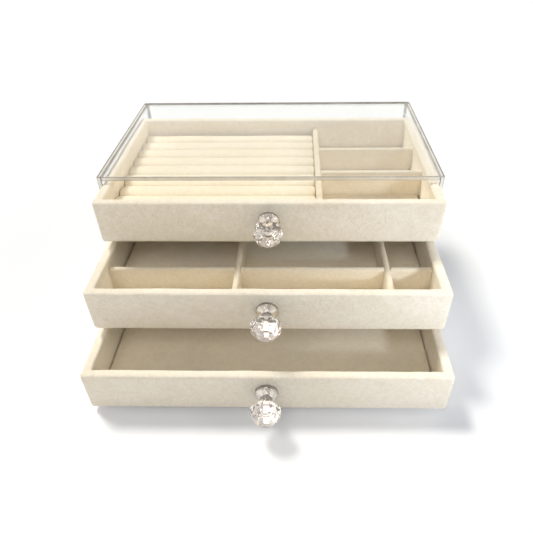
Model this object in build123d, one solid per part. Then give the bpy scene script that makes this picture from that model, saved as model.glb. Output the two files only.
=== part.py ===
"""Jewellery organizer: a clear acrylic case with three velvet-covered tray drawers and faceted knobs.

Millimetres. X runs to the right, Y to the back and Z up. The origin is the centre of the case's
underside. The drawers are drawn part way out, the lowest one furthest.
"""
import math
import os

from build123d import *

# Case: five clear sheets and two shelves, bonded edge to face
case_width = 235.0
case_depth = 138.0
sheet = 3.0
back_corner_radius = 2.4

# Drawers: thin boards wrapped in velvet
drawer_height = 31.0
side_clearance = 0.5
glide_clearance = 0.3
head_clearance = 1.7
shut_gap = 1.0
shut_reach = 2.0
wall_board = 3.4
floor_board = 3.0
velvet = 0.8
rim_radius = 2.2
lining = 3.2
lining_gap = 1.0
lining_radius = 0.8

# How far each drawer's front stands before the case, as photographed
top_reach = 26.0
middle_reach = 73.0
bottom_reach = 108.0

# Dividers: velvet-covered card
divider_thickness = 4.0
divider_drop = 7.0
divider_radius = 1.2
ring_bay_width = 141.0
top_front_cell_depth = 46.5
top_middle_cell_depth = 33.5
middle_left_cell_width = 85.7
middle_centre_cell_width = 96.5
middle_front_cell_depth = 28.0

# Ring rolls: velvet-covered foam on a card
roll_pitch = 14.0
roll_slit = 0.4
roll_drop = 11.5
roll_card = 1.5
roll_bed = 2.5
roll_crown_ratio = 0.45
cushion_clearance = 0.3

# Knobs: one faceted piece each, held by a pan-head screw from inside the drawer
knob_drop = 13.7
foot_diameter = 14.5
foot_edge = 1.4
foot_slope = 4.1
foot_break_diameter = 12.2
foot_break_length = 1.9
neck_diameter = 7.8
neck_length = 2.7
head_diameter = 20.0
head_back_diameter = 9.2
head_back_length = 5.4
head_break_diameter = 15.2
head_break_length = 2.6
girdle_length = 3.0
crown_diameter = 15.4
crown_length = 3.4
table_diameter = 9.8
table_length = 2.0
foot_sides = 16
head_sides = 8
screw_diameter = 3.0
screw_clearance = 0.2
screw_grip = 8.0
screw_head_diameter = 6.0
screw_head_height = 2.0
screw_head_radius = 0.8
screw_slot_width = 0.9
screw_slot_length = 3.4
screw_slot_depth = 1.0

# What follows from the sizes above
bay_height = glide_clearance + drawer_height + head_clearance
bay_pitch = bay_height + sheet
drawer_count = 3
case_height = drawer_count * bay_pitch + sheet
case_front = -case_depth / 2
inner_width = case_width - 2 * sheet
drawer_width = inner_width - 2 * side_clearance
drawer_depth = case_depth - sheet - shut_gap + shut_reach
wall = wall_board + 2 * velvet
cell_left = -drawer_width / 2 + wall
cell_right = drawer_width / 2 - wall
cell_depth = drawer_depth - 2 * wall
floor_top = velvet + floor_board
lining_top = floor_top + lining
divider_top = drawer_height - divider_drop
head_start = foot_edge + foot_slope + neck_length


def block(x_range, y_range, z_range):
    """A rectangular solid between two values on each axis."""
    (x0, x1), (y0, y1), (z0, z1) = x_range, y_range, z_range
    corner = (Align.MIN, Align.MIN, Align.MIN)
    return Pos(x0, y0, z0) * Box(x1 - x0, y1 - y0, z1 - z0, align=corner)


def save(node, solid):
    """Writes one named piece."""
    solid.label = node
    export_step(solid, os.path.join("parts", node + ".step"))


def edges_at_top(solid):
    """The edges that lie wholly in a solid's highest plane."""
    return solid.edges().group_by(Axis.Z)[-1]


def uprights(solid):
    """The upright straight edges of a solid."""
    return solid.edges().filter_by(Axis.Z)


def build_case():
    """Side and back sheets stand full height, and the level sheets are bonded between them."""
    half = case_width / 2
    back = -case_front
    full_depth = (case_front, back)
    full_height = (0, case_height)
    for node, x_range, outer in (
        ("case_left_side", (-half, -half + sheet), -half),
        ("case_right_side", (half - sheet, half), half),
    ):
        side = block(x_range, full_depth, full_height)
        corner = uprights(side).sort_by_distance((outer, back, case_height / 2))[0]
        save(node, fillet(corner, back_corner_radius))
    between = (-half + sheet, half - sheet)
    save("case_back", block(between, (back - sheet, back), full_height))
    levels = ("case_base", "case_lower_shelf", "case_upper_shelf", "case_top")
    for index, node in enumerate(levels):
        low = index * bay_pitch
        save(node, block(between, (case_front, back - sheet), (low, low + sheet)))


def polygon_points(out, diameter, sides, turn):
    """Corners of a regular polygon square to Y, at a distance out along -Y."""
    points = []
    for index in range(sides):
        angle = 2 * math.pi * (index + turn) / sides
        points.append((diameter / 2 * math.sin(angle), -out, diameter / 2 * math.cos(angle)))
    return points


def faceted(rings, sides):
    """A closed solid with flat facets between rings given as (out, diameter, turn)."""
    loops = [polygon_points(out, diameter, sides, turn) for out, diameter, turn in rings]
    outlines = [loops[0], loops[-1]]
    for (lower, upper), (ring, next_ring) in zip(zip(loops, loops[1:]), zip(rings, rings[1:])):
        step = next_ring[2] - ring[2]
        for index in range(sides):
            after = (index + 1) % sides
            if step == 0:
                outlines.append([lower[index], lower[after], upper[after], upper[index]])
            elif step > 0:
                outlines.append([lower[index], lower[after], upper[index]])
                outlines.append([lower[after], upper[after], upper[index]])
            else:
                outlines.append([lower[index], upper[after], upper[index]])
                outlines.append([lower[index], lower[after], upper[after]])
    faces = [Face(Wire.make_polygon(points, close=True)) for points in outlines]
    return Solid(Shell(faces))


def knob_solid(turn):
    """Foot, neck and faceted head on the Y axis, with the foot's back at y = 0."""
    foot_end = foot_edge + foot_slope
    girdle_start = head_start + head_back_length
    girdle_end = girdle_start + girdle_length
    crown_end = girdle_end + crown_length
    table = crown_end + table_length
    neck_end = head_start + head_back_length / 4
    foot = faceted(
        [
            (0, foot_diameter, 0),
            (foot_edge, foot_diameter, 0),
            (foot_edge + foot_break_length, foot_break_diameter, 0.5),
            (foot_end, neck_diameter, 0),
            (neck_end, neck_diameter, 0),
        ],
        foot_sides,
    )
    head = faceted(
        [
            (head_start, head_back_diameter, turn),
            (head_start + head_break_length, head_break_diameter, turn + 0.5),
            (girdle_start, head_diameter, turn),
            (girdle_end, head_diameter, turn),
            (crown_end, crown_diameter, turn + 0.5),
            (table, table_diameter, turn),
        ],
        head_sides,
    )
    bore_diameter = screw_diameter + 2 * screw_clearance
    bore_depth = screw_grip + screw_clearance
    bore = Rot(90, 0, 0) * Cylinder(bore_diameter / 2, bore_depth, align=(Align.CENTER, Align.CENTER, Align.MIN))
    return foot + head - bore


def screw_solid():
    """Pan-head screw on the Y axis, with its shank's tip towards -Y and the head's seat at y = wall."""
    base = (Align.CENTER, Align.CENTER, Align.MIN)
    head = Cylinder(screw_head_diameter / 2, screw_head_height, align=base)
    head = fillet(edges_at_top(head), screw_head_radius)
    slot_floor = screw_head_height - screw_slot_depth
    for length, width in ((screw_slot_length, screw_slot_width), (screw_slot_width, screw_slot_length)):
        head -= Pos(0, 0, slot_floor) * Box(length, width, screw_slot_depth, align=base)
    shank_length = wall + screw_grip
    shank = Pos(0, 0, -shank_length) * Cylinder(screw_diameter / 2, shank_length, align=base)
    return Pos(0, wall, 0) * Rot(-90, 0, 0) * (head + shank)


def drawer_boards():
    """The five boards under the velvet, in the drawer's own place: x centred, front at y = 0.

    Their outer corners are rounded under the velvet's own.
    """
    half = drawer_width / 2 - velvet
    near, far = velvet, drawer_depth - velvet
    walls = (floor_top, drawer_height - velvet)
    sides_y = (near + wall_board, far - wall_board)
    corner_radius = rim_radius - velvet
    front = block((-half, half), (near, near + wall_board), walls)
    back = block((-half, half), (far - wall_board, far), walls)
    floor = block((-half, half), (near, far), (velvet, floor_top))
    return {
        "front_board": fillet(uprights(front).group_by(Axis.Y)[0], corner_radius),
        "back_board": fillet(uprights(back).group_by(Axis.Y)[-1], corner_radius),
        "left_board": block((-half, -half + wall_board), sides_y, walls),
        "right_board": block((half - wall_board, half), sides_y, walls),
        "floor_board": fillet(uprights(floor), corner_radius),
    }


def velvet_wrap(boards):
    """One velvet cover: up the outside of the tray, over the rim, down the inside and under the floor."""
    half = drawer_width / 2
    outside = block((-half, half), (0, drawer_depth), (0, drawer_height))
    inside = block((cell_left, cell_right), (wall, drawer_depth - wall), (floor_top, drawer_height))
    outside = fillet(uprights(outside) + outside.edges().group_by(Axis.Z)[0], rim_radius)
    tray = outside - inside
    tray = fillet(edges_at_top(tray), rim_radius)
    for board in boards.values():
        tray -= board
    return tray


def divider(x_range, y_range):
    """A velvet-covered card on edge, standing on the floor lining, with a rounded top."""
    card = block(x_range, y_range, (lining_top, divider_top))
    x_run = x_range[1] - x_range[0]
    along = Axis.X if x_run > divider_thickness else Axis.Y
    return fillet(edges_at_top(card).filter_by(along), divider_radius)


def ring_cushion():
    """Foam rolls side by side from front to back, with narrow slits that grip rings between them.

    The first roll is dented where the knob's screw head presses into it.
    """
    count = int(cell_depth // roll_pitch)
    near = wall + cushion_clearance
    length = cell_depth - 2 * cushion_clearance
    pitch = length / count
    width = pitch - roll_slit
    bed_low = lining_top + roll_card
    top = drawer_height - roll_drop
    shoulder = top - roll_crown_ratio * width
    profile = Pos(near + length / 2, bed_low + roll_bed / 2) * Rectangle(length - roll_slit, roll_bed)
    for index in range(count):
        middle = near + pitch * (index + 0.5)
        low_left, low_right = (middle - width / 2, bed_low), (middle + width / 2, bed_low)
        left, right = (middle - width / 2, shoulder), (middle + width / 2, shoulder)
        outline = [
            Line(low_left, low_right),
            Line(low_right, right),
            ThreePointArc(right, (middle, top), left),
            Line(left, low_left),
        ]
        profile += make_face(outline)
    x0 = cell_left + cushion_clearance
    run = ring_bay_width - 2 * cushion_clearance
    section = Plane(origin=(x0, 0, 0), x_dir=(0, 1, 0), z_dir=(1, 0, 0)) * profile
    rolls = extrude(section, run, dir=(1, 0, 0))
    dent_radius = screw_head_diameter / 2 + cushion_clearance
    dent_depth = screw_head_height + cushion_clearance
    dent = Rot(-90, 0, 0) * Cylinder(dent_radius, dent_depth, align=(Align.CENTER, Align.CENTER, Align.MIN))
    return rolls - Pos(0, wall, drawer_height - knob_drop) * dent


def top_fittings():
    """Ring rolls on the left, and three cells on the right of a long divider."""
    far = drawer_depth - wall
    long_left = cell_left + ring_bay_width
    long_right = long_left + divider_thickness
    first = wall + top_front_cell_depth
    second = first + divider_thickness + top_middle_cell_depth
    card_x = (cell_left + cushion_clearance, long_left - cushion_clearance)
    card_y = (wall + cushion_clearance, far - cushion_clearance)
    cells = (long_right, cell_right)
    return {
        "long_divider": divider((long_left, long_right), (wall, far)),
        "front_cross_divider": divider(cells, (first, first + divider_thickness)),
        "rear_cross_divider": divider(cells, (second, second + divider_thickness)),
        "ring_roll_card": block(card_x, card_y, (lining_top, lining_top + roll_card)),
        "ring_roll_cushion": ring_cushion(),
    }


def middle_fittings():
    """Two long dividers, with a cross divider in each of the three lanes between the walls."""
    far = drawer_depth - wall
    left_start = cell_left + middle_left_cell_width
    left_end = left_start + divider_thickness
    right_start = left_end + middle_centre_cell_width
    right_end = right_start + divider_thickness
    cross = (wall + middle_front_cell_depth, wall + middle_front_cell_depth + divider_thickness)
    return {
        "left_long_divider": divider((left_start, left_end), (wall, far)),
        "right_long_divider": divider((right_start, right_end), (wall, far)),
        "left_cross_divider": divider((cell_left, left_start), cross),
        "centre_cross_divider": divider((left_end, right_start), cross),
        "right_cross_divider": divider((right_end, cell_right), cross),
    }


def build_drawer(name, bay, reach, knob_turn, fittings):
    """One drawer on its shelf, with its front a reach before the case."""
    place = Pos(0, case_front - reach, bay * bay_pitch + sheet + glide_clearance)
    boards = drawer_boards()
    wrap = velvet_wrap(boards)
    knob_place = Pos(0, 0, drawer_height - knob_drop)
    hole_diameter = screw_diameter + 2 * screw_clearance
    hole = knob_place * Pos(0, wall / 2, 0) * Rot(90, 0, 0) * Cylinder(hole_diameter / 2, 2 * wall)
    boards["front_board"] -= hole
    pieces = dict(boards)
    pieces["velvet_wrap"] = wrap - hole
    pad = block(
        (cell_left + lining_gap, cell_right - lining_gap),
        (wall + lining_gap, drawer_depth - wall - lining_gap),
        (floor_top, lining_top),
    )
    pieces["floor_lining"] = fillet(edges_at_top(pad), lining_radius)
    pieces["knob"] = knob_place * knob_solid(knob_turn)
    pieces["knob_screw"] = knob_place * screw_solid()
    pieces.update(fittings)
    for piece, solid in pieces.items():
        save(f"{name}_{piece}", place * solid)


os.makedirs("parts", exist_ok=True)
build_case()
build_drawer("bottom", 0, bottom_reach, 0.5, {})
build_drawer("middle", 1, middle_reach, 0.5, middle_fittings())
build_drawer("top", 2, top_reach, 0.0, top_fittings())
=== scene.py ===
"""Looks of the jewellery organizer: clear sheet case, velvet tray drawers, ring rolls and faceted knobs.

Metres, in the part's own frame: X right, Y back, Z up, origin at the centre of the case's underside.
"""
import math

import bmesh
import bpy
from mathutils import Matrix, Vector, noise


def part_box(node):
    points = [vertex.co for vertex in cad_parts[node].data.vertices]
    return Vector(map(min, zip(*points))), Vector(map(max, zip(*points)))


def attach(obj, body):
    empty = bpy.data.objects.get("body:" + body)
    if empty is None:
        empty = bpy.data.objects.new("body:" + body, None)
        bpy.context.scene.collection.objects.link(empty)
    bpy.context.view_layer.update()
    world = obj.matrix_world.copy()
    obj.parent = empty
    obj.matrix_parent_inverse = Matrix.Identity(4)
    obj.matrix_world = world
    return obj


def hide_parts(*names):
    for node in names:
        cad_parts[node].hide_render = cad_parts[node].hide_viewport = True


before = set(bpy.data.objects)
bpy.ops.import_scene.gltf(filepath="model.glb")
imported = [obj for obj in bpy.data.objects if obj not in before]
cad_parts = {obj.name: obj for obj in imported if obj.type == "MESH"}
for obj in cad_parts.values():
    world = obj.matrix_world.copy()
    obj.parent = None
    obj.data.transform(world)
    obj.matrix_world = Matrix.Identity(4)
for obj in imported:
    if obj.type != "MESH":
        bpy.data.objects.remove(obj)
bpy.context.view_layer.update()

MM = 0.001
DRAWERS = ("top", "middle", "bottom")

# Velvet trays
VELVET = 0.8 * MM
TRAY_CORNER = 2.2 * MM
TRAY_INNER_CORNER = 0.9 * MM
CORNER_STEPS = 7
TRAY_STEP = 2.4 * MM
WALL_STEPS = 10
UNDER_LAP = 9 * MM
UNDER_CORNER_TAPER = 0.6
BOARD_CORNER = 0.05 * MM
RIM_DROP = 2.0 * MM
RIM_FULLNESS = 2.8
RIM_STEPS = 14
RIM_SWELL = 1.1 * MM
RIM_SWELL_FALL = 4.6 * MM
RIM_SWELL_STEPS = 5
RIM_WAVE = 0.34 * MM
RIM_WAVE_LENGTH = 26 * MM
DEEPEST_WAVE = -0.3
WALL_WAVE = 0.12 * MM
WALL_WAVE_LENGTH = 11 * MM
WALL_WAVE_SHARE = 0.4
COVER_CREASE = 50

# Floor pads
PAD_SPREAD = 0.3 * MM
PAD_EDGE = 1.3 * MM
PAD_STEP = 3.0 * MM
PAD_WAVE = 0.16 * MM
PAD_WAVE_LENGTH = 16 * MM
PAD_CREASE = 60
EDGE_STEPS = 5

# Dividers
DIVIDER_STEP = 2.4 * MM
DIVIDER_ROW = 3 * MM
DIVIDER_TOP_STEPS = 10
DIVIDER_TOP_FULLNESS = 0.8
DIVIDER_END = 1.4 * MM
DIVIDER_END_DROP = 0.45
DIVIDER_WAVE = 0.13 * MM
DIVIDER_WAVE_LENGTH = 9 * MM

# Ring rolls, with the dent that the knob's screw head makes in the first one
ROLL_COUNT = 9
ROLL_STEPS = 14
ROLL_STEP = 2.6 * MM
ROLL_SLIT = 0.4 * MM
ROLL_BED = 2.5 * MM
ROLL_CROWN_RATIO = 0.36
ROLL_FULLNESS = 2.3
ROLL_END = 3.4 * MM
ROLL_END_DROP = 0.4
ROLL_END_NARROWING = 0.4
ROLL_WAVE = 0.28 * MM
ROLL_WAVE_LENGTH = 21 * MM
ROLL_SAG = 0.6
ROLL_SWAY = 0.6
DENT_REACH_RATIO = 2.2
DENT_DEPTH = 0.75

# Seeds of the waves, which differ from piece to piece
WAVE_DRIFT = (1.0, 2.3, -1.7)
TRAY_SEED = 11.0
TRAY_SEED_STEP = 7
WALL_SEED_STEP = 5
PAD_SEED = 2.0
PAD_SEED_STEP = 9
DIVIDER_SEED = 3.0
DIVIDER_TOP_SEED_STEP = 3
ROLL_SEED_STEP = 1.5
ROLL_SWAY_SEED = 40.0

# Case sheets
SHEET_BEVEL = 0.6 * MM
SHEET_BEVEL_FULLNESS = 0.6
SHEET_CREASE = 40
SHEET_GAP = 0.03 * MM
BACK_CORNER = 2.4 * MM
BACK_CORNER_STEPS = 8
OUTER_LINE = 1.25 * MM
BACK_LINE = 1.5 * MM
SIDE_CORNER = 5.0 * MM
BACK_CORNER_WIDTH = 1.2 * MM

# Materials of a sheet's faces, told apart by how far a face leans: clear acrylic, and opaque edge tones,
# where the pale band is painted light that the edge carries and the eased grey lines, dark lines and
# grey back corners are painted shade
CLEAR, PALE, EASED, DARK, CORNER_SHADE = range(5)
UPWARD = 0.5
SQUARE_ON = 0.999
SEAM_LEAN = 0.3

# Knobs: rings in millimetres as (distance out from the drawer's front, diameter, turn in facets)
KNOB_FACETS = 16
HEAD_CORNERS = 8
BORE_RINGS = ((8.2, 3.4, 0.0), (3.0, 3.4, 0.0), (1.5, 8.4, 0.5), (0.0, 13.4, 0.0))
FOOT_RINGS = (
    (0.0, 14.5, 0.0), (1.4, 14.5, 0.0), (2.3, 13.6, 0.5),
    (3.3, 12.0, 0.0), (4.4, 10.0, 0.5), (5.5, 7.8, 0.0), (8.2, 7.8, 0.0),
)
HEAD_RINGS = (
    (8.2, 9.2, 0.0), (10.8, 14.8, 0.5), (13.6, 20.0, 0.0),
    (15.6, 20.0, 0.0), (18.4, 17.2, 0.5), (20.6, 14.0, 0.0), (22.0, 10.8, 0.5),
)
KNOB_TURNS = {"top": 0.0, "middle": math.pi / 8, "bottom": math.pi / 8}
KNOB_BEVEL = 0.2 * MM
KNOB_CREASE = 12
# Knob faces: clear, silvered back facets, and a dark grey foot rim that paints the shade line round the
# foot's edge
POLISHED, SILVERED, RIM_SHADE = range(3)
BACKWARD = 0.1

# Materials: sizes of their detail, the usual range of a noise, and indices of refraction
BRUSHED_SIZE = 38 * MM
FIBRE_SIZE = 0.9 * MM
SMEAR_SIZE = 24 * MM
HAIRLINE_SIZE = 0.8 * MM
CLOUD_SIZE = 12 * MM
SAW_MARK_SIZE = 0.5 * MM
MOTTLE_SIZE = 14 * MM
TURNING_SIZE = 0.35 * MM
NOISE_LOW, NOISE_HIGH = 0.3, 0.7
SHEET_INDEX = 1.49
KNOB_INDEX = 1.55

# Floor and room light
FLOOR_HALF = 8.0
FLOOR_DROP = 0.2 * MM
FLOOR_PAINT = (0.925, 0.945, 1.0, 1)
FLOOR_LIFT = (0.69, 0.85, 1.0, 1)
FLOOR_LIFT_STRENGTH = 0.055
ROOM_LIGHT = (1.0, 0.96, 0.90, 1)
ROOM_STRENGTH = 0.12
OVER_VIEWER = (0.15, -0.5, 0.85)
OVER_VIEWER_STOPS = ((0.75, (1, 1, 1, 1)), (0.9, (0.5, 0.47, 0.48, 1)))
OVERHEAD_STOPS = ((0.37, (1, 1, 1, 1)), (0.42, (0.4, 0.4, 0.4, 1)))

# Suns as (name, share of white, disc in degrees, colour, place that they shine from, mirrored)
SUNS = (
    ("key", 0.8, 16, (1.0, 0.97, 0.88), (-0.5, 0.45, 1.0), False),
    ("left_fill", 0.08, 20, (1.0, 0.95, 0.88), (-1.0, -0.05, 0.07), False),
    ("front_fill", 0.26, 40, (1.0, 0.965, 0.93), (-0.2, -1.0, 1.15), True),
    ("right_fill", 0.22, 40, (1.0, 0.94, 0.84), (1.0, -0.15, 0.5), False),
)

# Spots as (name, watts, cone in degrees, softness of its edge, colour, place, target)
SPOTS = (
    ("right_front", 18.0, 14, 1.0, (0.8, 0.89, 1.0), (0.55, -0.78, 0.42), (0.14, -0.145, 0.06)),
    ("right_side", 8.0, 13, 0.8, (1.0, 0.88, 0.71), (0.74, -0.12, 0.33), (-0.1, -0.015, 0.1)),
)
SPOT_RADIUS = 0.05

# Camera, fitted to the photograph's 533 x 533 frame
PICTURE_SIDE = 533
FOCAL_PIXELS = 494.16
CENTRE_PIXEL = (286.05, 276.35)
CAMERA_PLACE = (18.38 * MM, -367.51 * MM, 270.19 * MM)
CAMERA_PITCH = 0.6886
CAMERA_YAW = -0.0275
CAMERA_ROLL = -0.0156
SENSOR_WIDTH = 36.0
NEAREST_SEEN = 0.01


# Materials

def linear(red, green, blue):
    """An sRGB colour of 0 to 255 as the linear RGBA that shaders take."""
    def channel(value):
        share = value / 255
        return share / 12.92 if share <= 0.04045 else ((share + 0.055) / 1.055) ** 2.4
    return (channel(red), channel(green), channel(blue), 1.0)


def new_material(name):
    """An empty node material with its output, as (material, nodes, links, output)."""
    material = bpy.data.materials.new(name)
    material.use_nodes = True
    tree = material.node_tree
    tree.nodes.clear()
    return material, tree.nodes, tree.links, tree.nodes.new("ShaderNodeOutputMaterial")


def noise_node(nodes, links, size, detail=3.0, stretch=(1, 1, 1), distortion=0.0):
    """Noise of a given real size in the part's own coordinates."""
    place = nodes.new("ShaderNodeTexCoord")
    mapping = nodes.new("ShaderNodeMapping")
    mapping.inputs["Scale"].default_value = stretch
    texture = nodes.new("ShaderNodeTexNoise")
    texture.inputs["Scale"].default_value = 1 / size
    texture.inputs["Detail"].default_value = detail
    texture.inputs["Distortion"].default_value = distortion
    links.new(place.outputs["Object"], mapping.inputs["Vector"])
    links.new(mapping.outputs["Vector"], texture.inputs["Vector"])
    return texture.outputs["Fac"]


def maths(nodes, links, operation, first, second):
    """A Math node on two sockets or numbers."""
    node = nodes.new("ShaderNodeMath")
    node.operation = operation
    for socket, value in zip(node.inputs, (first, second)):
        if isinstance(value, (int, float)):
            socket.default_value = value
        else:
            links.new(value, socket)
    return node.outputs[0]


def weighted(nodes, links, parts):
    """The sum of sockets, each times its weight."""
    total = None
    for socket, weight in parts:
        share = maths(nodes, links, "MULTIPLY", socket, weight)
        total = share if total is None else maths(nodes, links, "ADD", total, share)
    return total


def ramp(nodes, links, factor, stops):
    """A colour ramp through (position, colour) stops."""
    node = nodes.new("ShaderNodeValToRGB")
    elements = node.color_ramp.elements
    while len(elements) < len(stops):
        elements.new(0.5)
    for element, (position, colour) in zip(elements, stops):
        element.position = position
        element.color = colour
    links.new(factor, node.inputs["Fac"])
    return node.outputs["Color"]


def span(nodes, links, factor, low, high):
    """A noise mapped to a range."""
    node = nodes.new("ShaderNodeMapRange")
    node.inputs["From Min"].default_value = NOISE_LOW
    node.inputs["From Max"].default_value = NOISE_HIGH
    node.inputs["To Min"].default_value = low
    node.inputs["To Max"].default_value = high
    links.new(factor, node.inputs["Value"])
    return node.outputs["Result"]


def bump(nodes, links, height, distance, strength):
    """A bump normal from a height of 0 to 1."""
    node = nodes.new("ShaderNodeBump")
    node.inputs["Strength"].default_value = strength
    node.inputs["Distance"].default_value = distance
    links.new(height, node.inputs["Height"])
    return node.outputs["Normal"]


def velvet_material(name, shade, light, nap_size, nap_depth):
    """Short cream pile: brushed patches, a crushed nap of a few millimetres, and fine fibres."""
    material, nodes, links, output = new_material(name)
    brushed = noise_node(nodes, links, BRUSHED_SIZE, detail=2.0, stretch=(1, 1, 1.6), distortion=0.6)
    nap = noise_node(nodes, links, nap_size, detail=4.0, distortion=0.9)
    fibres = noise_node(nodes, links, FIBRE_SIZE, detail=2.0)
    tone = weighted(nodes, links, ((brushed, 0.27), (nap, 0.43), (fibres, 0.3)))
    height = weighted(nodes, links, ((nap, 0.7), (fibres, 0.3)))
    shader = nodes.new("ShaderNodeBsdfPrincipled")
    links.new(ramp(nodes, links, tone, ((0.32, shade), (0.66, light))), shader.inputs["Base Color"])
    links.new(span(nodes, links, fibres, low=0.86, high=1.0), shader.inputs["Roughness"])
    links.new(bump(nodes, links, height, distance=nap_depth, strength=0.6), shader.inputs["Normal"])
    shader.inputs["Specular IOR Level"].default_value = 0.12
    shader.inputs["Sheen Weight"].default_value = 0.35
    shader.inputs["Sheen Roughness"].default_value = 0.45
    shader.inputs["Sheen Tint"].default_value = linear(255, 250, 238)
    links.new(shader.outputs["BSDF"], output.inputs["Surface"])
    return material


def acrylic_material(name, colour, clearness, index, passing, silver=0.0):
    """Clear acrylic with faint hairlines. Rays from lamps and soft bounces go straight through."""
    material, nodes, links, output = new_material(name)
    smears = noise_node(nodes, links, SMEAR_SIZE, distortion=0.5)
    hairlines = noise_node(nodes, links, HAIRLINE_SIZE, detail=2.0, stretch=(0.06, 1, 1))
    shader = nodes.new("ShaderNodeBsdfPrincipled")
    shader.inputs["Base Color"].default_value = colour
    shader.inputs["Transmission Weight"].default_value = clearness
    shader.inputs["Metallic"].default_value = silver
    shader.inputs["IOR"].default_value = index
    links.new(span(nodes, links, smears, low=0.0, high=0.02), shader.inputs["Roughness"])
    links.new(bump(nodes, links, hairlines, distance=0.01 * MM, strength=0.15), shader.inputs["Normal"])
    clear = nodes.new("ShaderNodeBsdfTransparent")
    clear.inputs["Color"].default_value = (passing, passing, passing, 1)
    path = nodes.new("ShaderNodeLightPath")
    soft = maths(nodes, links, "MAXIMUM", path.outputs["Is Shadow Ray"], path.outputs["Is Diffuse Ray"])
    mix = nodes.new("ShaderNodeMixShader")
    links.new(soft, mix.inputs[0])
    links.new(shader.outputs["BSDF"], mix.inputs[1])
    links.new(clear.outputs["BSDF"], mix.inputs[2])
    links.new(mix.outputs["Shader"], output.inputs["Surface"])
    return material


def edge_material(name, shade, light, gloss, silver=0.0):
    """An opaque stand-in for an acrylic edge, glossy, with clouds and faint saw marks. A pale tone
    paints the light that a clear edge carries, and a grey or dark tone paints the shade lines along it.
    """
    material, nodes, links, output = new_material(name)
    clouds = noise_node(nodes, links, CLOUD_SIZE, distortion=0.8)
    marks = noise_node(nodes, links, SAW_MARK_SIZE, detail=2.0)
    tone = weighted(nodes, links, ((clouds, 0.7), (marks, 0.3)))
    shader = nodes.new("ShaderNodeBsdfPrincipled")
    links.new(ramp(nodes, links, tone, ((0.35, shade), (0.65, light))), shader.inputs["Base Color"])
    links.new(span(nodes, links, marks, low=gloss[0], high=gloss[1]), shader.inputs["Roughness"])
    links.new(bump(nodes, links, marks, distance=0.02 * MM, strength=0.2), shader.inputs["Normal"])
    shader.inputs["IOR"].default_value = SHEET_INDEX
    shader.inputs["Metallic"].default_value = silver
    links.new(shader.outputs["BSDF"], output.inputs["Surface"])
    return material


def board_material(name, shade, light, grain_size):
    """Pressed fibre: short flecks and a soft mottle."""
    material, nodes, links, output = new_material(name)
    flecks = noise_node(nodes, links, grain_size, detail=5.0, distortion=1.2)
    mottle = noise_node(nodes, links, MOTTLE_SIZE, detail=2.0)
    tone = weighted(nodes, links, ((flecks, 0.65), (mottle, 0.35)))
    shader = nodes.new("ShaderNodeBsdfPrincipled")
    links.new(ramp(nodes, links, tone, ((0.35, shade), (0.65, light))), shader.inputs["Base Color"])
    links.new(span(nodes, links, flecks, low=0.75, high=0.95), shader.inputs["Roughness"])
    links.new(bump(nodes, links, flecks, distance=0.15 * MM, strength=0.5), shader.inputs["Normal"])
    links.new(shader.outputs["BSDF"], output.inputs["Surface"])
    return material


def steel_material(name):
    """Zinc-plated screw steel with turned marks."""
    material, nodes, links, output = new_material(name)
    marks = noise_node(nodes, links, TURNING_SIZE, stretch=(1, 0.15, 1))
    shader = nodes.new("ShaderNodeBsdfPrincipled")
    shader.inputs["Metallic"].default_value = 1.0
    stops = ((NOISE_LOW, linear(150, 152, 156)), (NOISE_HIGH, linear(205, 206, 208)))
    links.new(ramp(nodes, links, marks, stops), shader.inputs["Base Color"])
    links.new(span(nodes, links, marks, low=0.22, high=0.42), shader.inputs["Roughness"])
    links.new(bump(nodes, links, marks, distance=0.03 * MM, strength=0.4), shader.inputs["Normal"])
    links.new(shader.outputs["BSDF"], output.inputs["Surface"])
    return material


WRAP_VELVET = velvet_material(
    "wrap_velvet", linear(237, 226, 207), linear(254, 249, 237), nap_size=3.0 * MM, nap_depth=0.9 * MM
)
PAD_VELVET = velvet_material(
    "pad_velvet", linear(238, 226, 204), linear(251, 243, 226), nap_size=4.0 * MM, nap_depth=0.5 * MM
)
# The dividers get a darker copy of the same velvet; its darker tone is painted shade for the cells they
# stand in
DIVIDER_VELVET = velvet_material(
    "divider_velvet", linear(229, 217, 194), linear(244, 235, 217), nap_size=2.6 * MM, nap_depth=0.4 * MM
)
ROLL_VELVET = velvet_material(
    "roll_velvet", linear(242, 231, 207), linear(253, 246, 229), nap_size=3.4 * MM, nap_depth=0.4 * MM
)
CLEAR_SHEET = acrylic_material(
    "clear_sheet", linear(253, 254, 253), clearness=1.0, index=SHEET_INDEX, passing=1.0
)
# Opaque stand-ins for the sheet edges: sheet_edge is painted light, the pale band that a clear edge
# carries; sheet_line and sheet_dark are painted shade lines along the edges; sheet_corner is a grey,
# half-clear painted shade in the back corners
SHEET_EDGE = edge_material(
    "sheet_edge", linear(236, 235, 231), linear(249, 248, 245), gloss=(0.12, 0.25), silver=0.35
)
SHEET_LINE = edge_material("sheet_line", linear(170, 165, 157), linear(204, 199, 191), gloss=(0.1, 0.2))
SHEET_DARK = edge_material("sheet_dark", linear(118, 114, 108), linear(150, 146, 140), gloss=(0.1, 0.2))
SHEET_CORNER = acrylic_material(
    "sheet_corner", linear(196, 194, 190), clearness=0.7, index=SHEET_INDEX, passing=0.85
)
KNOB_CLEAR = acrylic_material(
    "knob_clear", linear(254, 250, 245), clearness=0.9, index=KNOB_INDEX, passing=0.6, silver=0.08
)
KNOB_BACK = acrylic_material(
    "knob_back", linear(253, 248, 243), clearness=0.9, index=KNOB_INDEX, passing=0.6, silver=0.85
)
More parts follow.
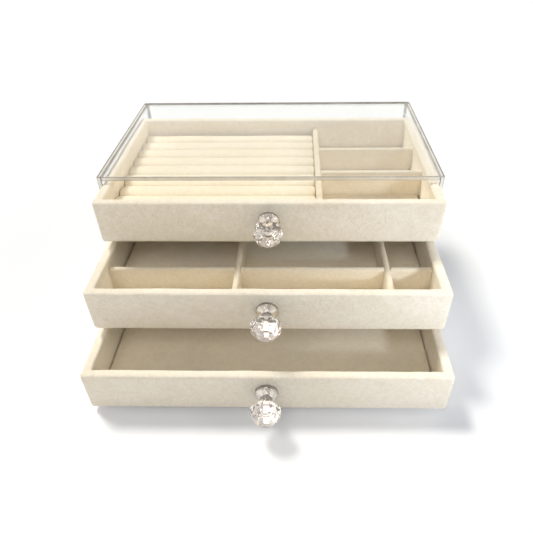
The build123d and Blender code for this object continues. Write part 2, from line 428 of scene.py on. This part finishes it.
# knob_rim is painted shade: the dark line seen round the foot's rim
KNOB_RIM = edge_material("knob_rim", linear(128, 120, 108), linear(170, 162, 150), gloss=(0.2, 0.4))
FIBREBOARD = board_material(
    "fibreboard", linear(150, 118, 84), linear(196, 166, 128), grain_size=1.4 * MM
)
GREY_CARD = board_material(
    "grey_card", linear(150, 144, 134), linear(186, 180, 168), grain_size=0.9 * MM
)
SCREW_STEEL = steel_material("screw_steel")


# Mesh helpers

def add_piece(name, mesh_builder, body, nodes, materials):
    """Turns a bmesh into a piece that rides on a body and stands for CAD nodes."""
    mesh_builder.normal_update()
    mesh = bpy.data.meshes.new(name)
    mesh_builder.to_mesh(mesh)
    mesh_builder.free()
    piece = bpy.data.objects.new(name, mesh)
    bpy.context.scene.collection.objects.link(piece)
    for material in materials:
        mesh.materials.append(material)
    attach(piece, body)
    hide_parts(*nodes)
    return piece


def smooth(piece, sharp_degrees):
    """Smooth shading, kept sharp over edges that turn by more than an angle."""
    piece.data.shade_smooth()
    piece.data.set_sharp_from_angle(angle=math.radians(sharp_degrees))


def bridge(builder, first, second, closed=True):
    """Quads between two rows of vertices of equal length."""
    count = len(first)
    for index in range(count if closed else count - 1):
        after = (index + 1) % count
        builder.faces.new((first[index], first[after], second[after], second[index]))


def wave(point, length, seed):
    """Smooth noise of about -1 to 1, with bumps about a length across."""
    return noise.noise(point / length + Vector([seed * share for share in WAVE_DRIFT]))


def dimple(point, length, seed):
    """The same noise from about 0 to 1."""
    return 0.5 + 0.5 * wave(point, length, seed)


def evenly(start, end, step):
    """Values from start to end, both included, about a step apart."""
    count = max(2, round(abs(end - start) / step))
    return [start + (end - start) * index / count for index in range(count + 1)]


def rounded_loop(low, high, inset, radius, z, side_counts):
    """Points round a rectangle with rounded corners, from its front left, seen from above."""
    left, right = low.x + inset + radius, high.x - inset - radius
    front, back = low.y + inset + radius, high.y - inset - radius
    centres = ((right, front), (right, back), (left, back), (left, front))
    points = []
    for side, centre in enumerate(centres):
        turn = math.pi / 2 * side
        out = Vector((math.sin(turn), -math.cos(turn)))
        start = Vector(centres[side - 1]) + out * radius
        end = Vector(centre) + out * radius
        count = side_counts[side % 2]
        for index in range(count):
            point = start.lerp(end, index / count)
            points.append((point.x, point.y, z))
        for index in range(CORNER_STEPS):
            angle = turn + math.pi / 2 * index / CORNER_STEPS
            x = centre[0] + radius * math.sin(angle)
            y = centre[1] - radius * math.cos(angle)
            points.append((x, y, z))
    return [Vector(point) for point in points]


def edge_spread(low, high, edge, step):
    """Positions along a pad, divider or roll, close together at its rounded ends."""
    angles = [math.pi / 2 * index / EDGE_STEPS for index in range(EDGE_STEPS)]
    near = [low + edge * (1 - math.cos(angle)) for angle in angles]
    middle = evenly(low + edge, high - edge, step)
    return near + middle + [low + high - value for value in reversed(near)]


def close_grid(builder, grid, base_z):
    """Faces on a grid of vertices, with a skirt down to a flat base."""
    for first, second in zip(grid, grid[1:]):
        bridge(builder, second, first, closed=False)
    border = grid[0][:-1] + [row[-1] for row in grid[:-1]]
    border += grid[-1][:0:-1] + [row[0] for row in grid[:0:-1]]
    base = [builder.verts.new((vertex.co.x, vertex.co.y, base_z)) for vertex in border]
    bridge(builder, border, base)
    builder.faces.new(base)
    bmesh.ops.recalc_face_normals(builder, faces=builder.faces)


# Case

def cut_sheet(builder, axis, place):
    """Splits the faces of a sheet along a plane square to an axis."""
    normal = [0.0, 0.0, 0.0]
    normal[axis] = 1.0
    point = [place * share for share in normal]
    geometry = builder.verts[:] + builder.edges[:] + builder.faces[:]
    bmesh.ops.bisect_plane(builder, geom=geometry, plane_co=point, plane_no=normal)


def sheet_face_look(face, node, thin_axis, low, high):
    """Which material a sheet's face gets, as its number: clear, or one of the edge tones that paint the
    edge's light and shade.
    """
    middle = face.calc_center_median()
    upward = face.normal.z > UPWARD
    flat = max(abs(value) for value in face.normal) > SQUARE_ON
    to_side = min(middle.x - low.x, high.x - middle.x)
    if node == "case_back":
        if upward:
            return DARK
        if to_side < BACK_CORNER_WIDTH:
            return CORNER_SHADE
    if node == "case_top" and upward and middle.y > high.y - BACK_LINE:
        return DARK
    if thin_axis == 0:
        in_corner = middle.y > high.y - SIDE_CORNER
        from_outside = max(abs(low.x), abs(high.x)) - abs(middle.x)
        if upward and (in_corner or from_outside < OUTER_LINE):
            return DARK
        if in_corner:
            return CORNER_SHADE
    if flat and abs(face.normal[thin_axis]) > SQUARE_ON:
        return CLEAR
    on_seam = upward and abs(face.normal.x) > SEAM_LEAN
    return PALE if flat or on_seam else EASED


def round_back_corner(builder, outer, back):
    """Rounds the upright edge where a side meets the back on the outside."""
    near = 2 * SHEET_GAP
    corner = [
        edge for edge in builder.edges
        if all(abs(vertex.co.x - outer) < near and vertex.co.y > back - near for vertex in edge.verts)
    ]
    bmesh.ops.bevel(
        builder, geom=corner, offset=BACK_CORNER, segments=BACK_CORNER_STEPS, profile=0.5, affect="EDGES"
    )


def cut_paint_lines(builder, node, thin_axis, outer, low, high):
    """Cuts a sheet's faces where the painted edge tone changes."""
    if thin_axis == 0:
        cut_sheet(builder, 0, outer - math.copysign(OUTER_LINE, outer))
        cut_sheet(builder, 1, high.y - SIDE_CORNER)
    if node == "case_top":
        cut_sheet(builder, 1, high.y - BACK_LINE)
    if node == "case_back":
        cut_sheet(builder, 0, low.x + BACK_CORNER_WIDTH)
        cut_sheet(builder, 0, high.x - BACK_CORNER_WIDTH)


def case_sheet(node):
    """One clear sheet with eased edges, a hair clear of the sheets that it is bonded to."""
    low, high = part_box(node)
    size = high - low
    thin_axis = min(range(3), key=lambda axis: size[axis])
    outer = low.x if abs(low.x) > abs(high.x) else high.x
    inner_size = size - 2 * Vector((SHEET_GAP,) * 3)
    place = Matrix.Translation((low + high) / 2) @ Matrix.Diagonal((*inner_size, 1))
    builder = bmesh.new()
    bmesh.ops.create_cube(builder, size=1.0)
    bmesh.ops.transform(builder, matrix=place, verts=builder.verts)
    if thin_axis == 0:
        round_back_corner(builder, outer, high.y)
    sharp = [edge for edge in builder.edges if edge.calc_face_angle(0) > math.radians(SHEET_CREASE)]
    bmesh.ops.bevel(
        builder, geom=sharp, offset=SHEET_BEVEL, segments=2, profile=SHEET_BEVEL_FULLNESS, affect="EDGES"
    )
    cut_paint_lines(builder, node, thin_axis, outer, low, high)
    builder.normal_update()
    # Faces get clear acrylic, or one of the edge tones that paint the edge's light and shade
    for face in builder.faces:
        face.material_index = sheet_face_look(face, node, thin_axis, low, high)
    face_materials = [CLEAR_SHEET, SHEET_EDGE, SHEET_LINE, SHEET_DARK, SHEET_CORNER]
    add_piece(node + "_sheet", builder, "case", [node], face_materials)


def build_case():
    """The seven bonded sheets."""
    for node in sorted(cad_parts):
        if node.startswith("case_"):
            case_sheet(node)


# Trays

def rim_swell(height, top):
    """How far the padding swells into the tray at a height below its rim."""
    share = min(max(1 - (top - RIM_DROP - height) / RIM_SWELL_FALL, 0.0), 1.0)
    return RIM_SWELL * share * share * (3 - 2 * share)


def rim_profile(wall, top):
    """Insets and heights over the padded rim, from the outer wall to the inner one."""
    points = []
    width = wall + RIM_SWELL
    for index in range(RIM_STEPS + 1):
        angle = math.pi * index / RIM_STEPS
        across = math.copysign(abs(math.cos(angle)) ** (2 / RIM_FULLNESS), math.cos(angle))
        up = math.sin(angle) ** (2 / RIM_FULLNESS) if 0 < index < RIM_STEPS else 0.0
        points.append((width / 2 * (1 - across), top - RIM_DROP + RIM_DROP * up))
    return points


def tray_profile(wall, low_z, top, floor_z):
    """Rows (inset, height, corner radius, wave) of the cover, from below over the rim to the floor."""
    rows = [(UNDER_LAP, low_z, TRAY_CORNER, 0.0)]
    for index in range(CORNER_STEPS + 1):
        angle = math.pi / 2 * index / CORNER_STEPS
        inset = TRAY_CORNER * (1 - math.sin(angle))
        height = low_z + TRAY_CORNER * (1 - math.cos(angle))
        rows.append((inset, height, TRAY_CORNER - UNDER_CORNER_TAPER * inset, WALL_WAVE))
    for height in evenly(low_z + TRAY_CORNER, top - RIM_DROP, (top - low_z) / WALL_STEPS)[1:-1]:
        rows.append((0.0, height, TRAY_CORNER, WALL_WAVE))
    for inset, height in rim_profile(wall, top):
        share = inset / (wall + RIM_SWELL)
        radius = TRAY_CORNER * (1 - share) + TRAY_INNER_CORNER * share
        rows.append((inset, height, radius, RIM_WAVE))
    swell_end = top - RIM_DROP - RIM_SWELL_FALL
    inner_heights = evenly(top - RIM_DROP, swell_end, RIM_SWELL_FALL / RIM_SWELL_STEPS)[1:]
    inner_heights += evenly(swell_end, floor_z, (top - low_z) / WALL_STEPS)[1:]
    for height in inner_heights:
        rows.append((wall + rim_swell(height, top), height, TRAY_INNER_CORNER, WALL_WAVE))
    return rows


def board_rows(wall, low_z, top, floor_z):
    """The cover's inner side, where it is glued to the boards."""
    rounded = TRAY_CORNER - VELVET
    inner = wall - VELVET
    return [
        (inner, floor_z, BOARD_CORNER, 0.0),
        (inner, top - VELVET, BOARD_CORNER, 0.0),
        (VELVET, top - VELVET, rounded, 0.0),
        (VELVET, low_z + VELVET, rounded, 0.0),
        (UNDER_LAP, low_z + VELVET, BOARD_CORNER, 0.0),
    ]


def build_tray(drawer, seed):
    """The velvet cover of one drawer's boards, a closed skin with soft uneven rims."""
    node = drawer + "_velvet_wrap"
    low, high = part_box(node)
    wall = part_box(drawer + "_front_board")[1].y - low.y + VELVET
    floor_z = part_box(drawer + "_floor_board")[1].z
    side_counts = (round((high.x - low.x) / TRAY_STEP), round((high.y - low.y) / TRAY_STEP))
    rows = tray_profile(wall, low.z, high.z, floor_z) + board_rows(wall, low.z, high.z, floor_z)
    builder = bmesh.new()
    loops = []
    for inset, height, radius, _ in rows:
        points = rounded_loop(low, high, inset, radius, height, side_counts)
        loops.append([builder.verts.new(point) for point in points])
    for first, second in zip(loops, loops[1:]):
        bridge(builder, first, second)
    builder.faces.new(list(reversed(loops[0])))
    builder.faces.new(loops[-1])
    builder.normal_update()
    for loop, (_, _, _, depth) in zip(loops, rows):
        for vertex in loop:
            rise = wave(vertex.co, RIM_WAVE_LENGTH, seed)
            rise += WALL_WAVE_SHARE * wave(vertex.co, WALL_WAVE_LENGTH, seed + WALL_SEED_STEP)
            vertex.co += vertex.normal * depth * max(rise, DEEPEST_WAVE)
    body = drawer + "_drawer"
    piece = add_piece(drawer + "_tray_cover", builder, body, [node], [WRAP_VELVET])
    smooth(piece, COVER_CREASE)


# Floor pads

def build_pad(drawer, seed):
    """The velvet-covered pad on a drawer's floor, with soft rolled edges."""
    node = drawer + "_floor_lining"
    low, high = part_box(node)
    spread = Vector((PAD_SPREAD, PAD_SPREAD, 0.0))
    low, high = low - spread, high + spread
    builder = bmesh.new()
    grid = []
    for y in edge_spread(low.y, high.y, PAD_EDGE, PAD_STEP):
        row = []
        for x in edge_spread(low.x, high.x, PAD_EDGE, PAD_STEP):
            to_edge = min(x - low.x, high.x - x, y - low.y, high.y - y)
            fall = max(0.0, 1 - to_edge / PAD_EDGE)
            point = Vector((x, y, high.z - PAD_EDGE * (1 - math.sqrt(1 - fall * fall))))
            point.z -= PAD_WAVE * dimple(point, PAD_WAVE_LENGTH, seed)
            row.append(builder.verts.new(point))
        grid.append(row)
    close_grid(builder, grid, low.z)
    body = drawer + "_drawer"
    piece = add_piece(drawer + "_floor_pad", builder, body, [node], [PAD_VELVET])
    smooth(piece, PAD_CREASE)


# Dividers

def divider_section(half, low_z, high_z):
    """Offsets and heights up one face, over the round top and down the other."""
    rise = evenly(low_z, high_z - half, DIVIDER_ROW)
    points = [(-half, height) for height in rise]
    for index in range(1, DIVIDER_TOP_STEPS):
        angle = math.pi * index / DIVIDER_TOP_STEPS
        up = math.sin(angle) ** DIVIDER_TOP_FULLNESS
        points.append((-half * math.cos(angle), high_z - half + half * up))
    return points + [(half, height) for height in reversed(rise)]


def build_divider(drawer, node, seed):
    """A velvet-covered card on edge, with a rounded top that dips a little at its ends."""
    low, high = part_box(node)
    size = high - low
    along = 0 if size.x > size.y else 1
    across = 1 - along
    middle = (low + high) / 2
    half = size[across] / 2
    builder = bmesh.new()
    loops = []
    for place in edge_spread(low[along], high[along], DIVIDER_END, DIVIDER_STEP):
        to_end = min(place - low[along], high[along] - place)
        fall = max(0.0, 1 - to_end / DIVIDER_END)
        dip = DIVIDER_END_DROP * DIVIDER_END * (1 - math.sqrt(1 - fall * fall))
        loop = []
        for offset, height in divider_section(half, low.z, high.z):
            point = Vector((0.0, 0.0, height))
            point[along] = place
            point[across] = middle[across] + offset
            share = (height - low.z) / size.z
            spot = Vector((place, middle[across], height))
            point[across] += DIVIDER_WAVE * wave(spot, DIVIDER_WAVE_LENGTH, seed) * share
            sink = DIVIDER_WAVE * dimple(point, DIVIDER_WAVE_LENGTH, seed + DIVIDER_TOP_SEED_STEP)
            point.z -= share * (dip + sink)
            loop.append(builder.verts.new(point))
        loops.append(loop)
    for first, second in zip(loops, loops[1:]):
        bridge(builder, first, second)
    builder.faces.new(loops[0])
    builder.faces.new(list(reversed(loops[-1])))
    bmesh.ops.recalc_face_normals(builder, faces=builder.faces)
    body = drawer + "_drawer"
    piece = add_piece(node + "_cover", builder, body, [node], [DIVIDER_VELVET])
    smooth(piece, COVER_CREASE)


def build_dividers():
    """Every divider of the two upper drawers."""
    for seed, node in enumerate(sorted(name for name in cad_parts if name.endswith("_divider"))):
        build_divider(node.split("_")[0], node, DIVIDER_SEED + seed)


# Ring rolls

def roll_rows(low, high):
    """Rows across the rolls as (centre, offset, height, roll number), with a slit between neighbours."""
    pitch = (high.y - low.y) / ROLL_COUNT
    width = pitch - ROLL_SLIT
    bed = low.z + ROLL_BED
    crown = ROLL_CROWN_RATIO * width
    rows = []
    for index in range(ROLL_COUNT):
        centre = low.y + pitch * (index + 0.5)
        if index:
            rows.append((centre - pitch / 2, 0.0, bed, index))
        for step in range(ROLL_STEPS + 1):
            share = -math.cos(math.pi * step / ROLL_STEPS)
            up = max(0.0, 1 - abs(share) ** ROLL_FULLNESS) ** (1 / ROLL_FULLNESS)
            rows.append((centre, share * width / 2, high.z - crown + crown * up, index))
    return rows


def build_rolls():
    """Nine velvet-covered foam rolls, rounded at their ends and dented by the knob's screw."""
    node = "top_ring_roll_cushion"
    low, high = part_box(node)
    screw_low, screw_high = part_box("top_knob_screw")
    screw_x = (screw_low.x + screw_high.x) / 2
    dent_reach = DENT_REACH_RATIO * (screw_high.z - screw_low.z)
    bed = low.z + ROLL_BED
    builder = bmesh.new()
    grid = []
    for centre, offset, height, index in roll_rows(low, high):
        row = []
        for x in edge_spread(low.x, high.x, ROLL_END, ROLL_STEP):
            fall = max(0.0, 1 - min(x - low.x, high.x - x) / ROLL_END)
            end = 1 - math.sqrt(1 - fall * fall)
            spot = Vector((x, centre, height))
            sag = ROLL_WAVE * (ROLL_SAG + wave(spot, ROLL_WAVE_LENGTH, ROLL_SEED_STEP * index))
            y = centre + offset * (1 - ROLL_END_NARROWING * end)
            y += ROLL_SWAY * ROLL_WAVE * wave(spot, ROLL_WAVE_LENGTH, index + ROLL_SWAY_SEED)
            over_bed = (height - bed) / (high.z - bed)
            z = height - over_bed * (sag + ROLL_END_DROP * ROLL_END * end)
            beside = max(0.0, 1 - abs(x - screw_x) / dent_reach)
            behind = max(0.0, 1 - (y - low.y) / dent_reach)
            z -= (z - bed) * DENT_DEPTH * math.sqrt(beside) * math.sqrt(behind)
            row.append(builder.verts.new((x, min(max(y, low.y), high.y), z)))
        grid.append(row)
    close_grid(builder, grid, low.z)
    piece = add_piece("top_ring_rolls", builder, "top_drawer", [node], [ROLL_VELVET])
    smooth(piece, PAD_CREASE)


# Knobs

def knob_ring(builder, centre, ring, turn, corners):
    """Vertices round a ring square to Y, on a polygon with a given number of corners."""
    out, diameter, shift = ring
    side_angle = 2 * math.pi / corners
    vertices = []
    for index in range(KNOB_FACETS):
        angle = 2 * math.pi * (index + shift) / KNOB_FACETS
        from_middle = angle % side_angle - side_angle / 2
        reach = diameter / 2 * math.cos(side_angle / 2) / math.cos(from_middle)
        place = Vector((reach * math.sin(angle + turn), -out, reach * math.cos(angle + turn)))
        vertices.append(builder.verts.new(centre + place * MM))
    return vertices


def turned_facets(builder, lower, upper, step):
    """Triangles between two rings that are turned half a step to each other."""
    count = len(lower)
    for index in range(count):
        after = (index + 1) % count
        if step > 0:
            builder.faces.new((lower[index], lower[after], upper[index]))
            builder.faces.new((lower[after], upper[after], upper[index]))
        else:
            builder.faces.new((lower[index], upper[after], upper[index]))
            builder.faces.new((lower[index], lower[after], upper[after]))


def mark_facets(builder, centre):
    """Facets that look back are silvered, and the foot's rim gets a dark grey that paints the shade line
    round the foot.
    """
    builder.normal_update()
    rim_out = FOOT_RINGS[1][0] * MM
    bore_reach = BORE_RINGS[0][1] * MM
    for face in builder.faces:
        middle = face.calc_center_median() - centre
        if face.normal.y > BACKWARD:
            face.material_index = SILVERED
        elif -middle.y < rim_out and middle.xz.length > bore_reach:
            face.material_index = RIM_SHADE
        else:
            face.material_index = POLISHED


def build_knob(drawer):
    """A clear knob: a many-sided foot, a neck, and a head cut like a stone, bored for its screw."""
    node = drawer + "_knob"
    low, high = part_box(node)
    screw_low, screw_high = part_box(drawer + "_knob_screw")
    centre = Vector(((low.x + high.x) / 2, high.y, (screw_low.z + screw_high.z) / 2))
    turn = KNOB_TURNS[drawer]
    builder = bmesh.new()
    round_rings = BORE_RINGS + FOOT_RINGS
    loops = [knob_ring(builder, centre, ring, turn, KNOB_FACETS) for ring in round_rings]
    loops += [knob_ring(builder, centre, ring, turn, HEAD_CORNERS) for ring in HEAD_RINGS]
    shifts = [ring[2] for ring in round_rings + HEAD_RINGS]
    for index in range(len(loops) - 1):
        step = shifts[index + 1] - shifts[index]
        if step == 0:
            bridge(builder, loops[index], loops[index + 1])
        else:
            turned_facets(builder, loops[index], loops[index + 1], step)
    builder.faces.new(loops[0])
    builder.faces.new(loops[-1])
    bmesh.ops.recalc_face_normals(builder, faces=builder.faces)
    mark_facets(builder, centre)
    face_materials = [KNOB_CLEAR, KNOB_BACK, KNOB_RIM]
    body = drawer + "_drawer"
    piece = add_piece(drawer + "_crystal_knob", builder, body, [node], face_materials)
    ease = piece.modifiers.new("eased facets", "BEVEL")
    ease.width = KNOB_BEVEL
    ease.segments = 1
    ease.limit_method = "ANGLE"
    ease.angle_limit = math.radians(KNOB_CREASE)


# CAD nodes that stay in view

def dress_cad_nodes():
    """Boards, card and screws keep their CAD shape and get their finish."""
    for name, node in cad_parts.items():
        if name.endswith("_board"):
            finish = FIBREBOARD
        elif name.endswith("_card"):
            finish = GREY_CARD
        elif name.endswith("_screw"):
            finish = SCREW_STEEL
        else:
            continue
        node.data.materials.clear()
        node.data.materials.append(finish)


# Stage

def background_share(nodes, links, gloss):
    """1 for rays that show the white background, from the camera or through glass, and less in gloss."""
    path = nodes.new("ShaderNodeLightPath")
    mirrored = maths(nodes, links, "MULTIPLY", path.outputs["Is Glossy Ray"], gloss)
    seen = maths(nodes, links, "MAXIMUM", path.outputs["Is Camera Ray"], mirrored)
    return maths(nodes, links, "MAXIMUM", seen, path.outputs["Is Transmission Ray"])


def build_floor():
    """A wide pale floor that keeps the object's shadow."""
    builder = bmesh.new()
    corners = []
    for x, y in ((-1, -1), (1, -1), (1, 1), (-1, 1)):
        corners.append(builder.verts.new((x * FLOOR_HALF, y * FLOOR_HALF, -FLOOR_DROP)))
    builder.faces.new(corners)
    mesh = bpy.data.meshes.new("floor")
    builder.to_mesh(mesh)
    builder.free()
    floor = bpy.data.objects.new("floor", mesh)
    bpy.context.scene.collection.objects.link(floor)
    material, nodes, links, output = new_material("pale_floor")
    paint = nodes.new("ShaderNodeBsdfDiffuse")
    paint.inputs["Color"].default_value = FLOOR_PAINT
    lift = nodes.new("ShaderNodeEmission")
    lift.inputs["Color"].default_value = FLOOR_LIFT
    share = background_share(nodes, links, 1.0)
    links.new(maths(nodes, links, "MULTIPLY", share, FLOOR_LIFT_STRENGTH), lift.inputs["Strength"])
    total = nodes.new("ShaderNodeAddShader")
    links.new(paint.outputs["BSDF"], total.inputs[0])
    links.new(lift.outputs["Emission"], total.inputs[1])
    links.new(total.outputs["Shader"], output.inputs["Surface"])
    mesh.materials.append(material)


def build_world():
    """Soft room light. Gloss and glass show a white backdrop, dimmer overhead and over the viewer."""
    world = bpy.data.worlds.new("studio")
    bpy.context.scene.world = world
    world.use_nodes = True
    tree = world.node_tree
    nodes, links = tree.nodes, tree.links
    nodes.clear()
    output = nodes.new("ShaderNodeOutputWorld")
    place = nodes.new("ShaderNodeTexCoord")
    towards = nodes.new("ShaderNodeVectorMath")
    towards.operation = "DOT_PRODUCT"
    towards.inputs[1].default_value = OVER_VIEWER
    links.new(place.outputs["Generated"], towards.inputs[0])
    shown = nodes.new("ShaderNodeBackground")
    links.new(ramp(nodes, links, towards.outputs["Value"], OVER_VIEWER_STOPS), shown.inputs["Color"])
    axes = nodes.new("ShaderNodeSeparateXYZ")
    links.new(place.outputs["Generated"], axes.inputs[0])
    mirrored = ramp(nodes, links, axes.outputs["Z"], OVERHEAD_STOPS)
    light = nodes.new("ShaderNodeBackground")
    light.inputs["Color"].default_value = ROOM_LIGHT
    light.inputs["Strength"].default_value = ROOM_STRENGTH
    mix = nodes.new("ShaderNodeMixShader")
    links.new(background_share(nodes, links, mirrored), mix.inputs[0])
    links.new(light.outputs["Background"], mix.inputs[1])
    links.new(shown.outputs["Background"], mix.inputs[2])
    links.new(mix.outputs["Shader"], output.inputs["Surface"])


def add_lamp(name, lamp, place, target, mirrored):
    """Hangs a lamp, turned to a target. Unless it is mirrored, it leaves no image in gloss or glass."""
    holder = bpy.data.objects.new(name, lamp)
    holder.location = place
    holder.rotation_euler = (Vector(target) - Vector(place)).to_track_quat("-Z", "Y").to_euler()
    holder.visible_camera = False
    holder.visible_glossy = mirrored
    holder.visible_transmission = mirrored
    bpy.context.scene.collection.objects.link(holder)


def build_lamps():
    """A broad key from the upper left behind, weak fills from three sides, two spots from the right."""
    for name, share, angle, colour, place, mirrored in SUNS:
        sun = bpy.data.lights.new(name, "SUN")
        sun.energy = share * math.pi
        sun.angle = math.radians(angle)
        sun.color = colour
        add_lamp(name, sun, place, (0.0, 0.0, 0.0), mirrored)
    for name, watts, spread, blend, colour, place, target in SPOTS:
        spot = bpy.data.lights.new(name, "SPOT")
        spot.energy = watts
        spot.color = colour
        spot.spot_size = math.radians(spread)
        spot.spot_blend = blend
        spot.shadow_soft_size = SPOT_RADIUS
        add_lamp(name, spot, place, target, True)


def build_camera():
    """The photograph's viewpoint."""
    turn = Matrix.Rotation(CAMERA_YAW, 3, "Z")
    tilt = Matrix((
        (1, 0, 0),
        (0, -math.sin(CAMERA_PITCH), -math.cos(CAMERA_PITCH)),
        (0, math.cos(CAMERA_PITCH), -math.sin(CAMERA_PITCH)),
    ))
    rows = Matrix.Rotation(CAMERA_ROLL, 3, "Z") @ tilt @ turn
    right, down, forward = rows[0], rows[1], rows[2]
    camera = bpy.data.cameras.new("camera")
    camera.sensor_width = SENSOR_WIDTH
    camera.lens = FOCAL_PIXELS * SENSOR_WIDTH / PICTURE_SIDE
    camera.shift_x = (PICTURE_SIDE / 2 - CENTRE_PIXEL[0]) / PICTURE_SIDE
    camera.shift_y = (CENTRE_PIXEL[1] - PICTURE_SIDE / 2) / PICTURE_SIDE
    camera.clip_start = NEAREST_SEEN
    holder = bpy.data.objects.new("camera", camera)
    axes = Matrix((right, -down, -forward)).transposed().to_4x4()
    holder.matrix_world = Matrix.Translation(CAMERA_PLACE) @ axes
    bpy.context.scene.collection.objects.link(holder)
    bpy.context.scene.camera = holder


build_case()
for number, drawer_name in enumerate(DRAWERS):
    build_tray(drawer_name, TRAY_SEED + TRAY_SEED_STEP * number)
    build_pad(drawer_name, PAD_SEED + PAD_SEED_STEP * number)
    build_knob(drawer_name)
build_dividers()
build_rolls()
dress_cad_nodes()
build_floor()
build_world()
build_lamps()
build_camera()
bpy.context.scene.view_settings.view_transform = "Standard"
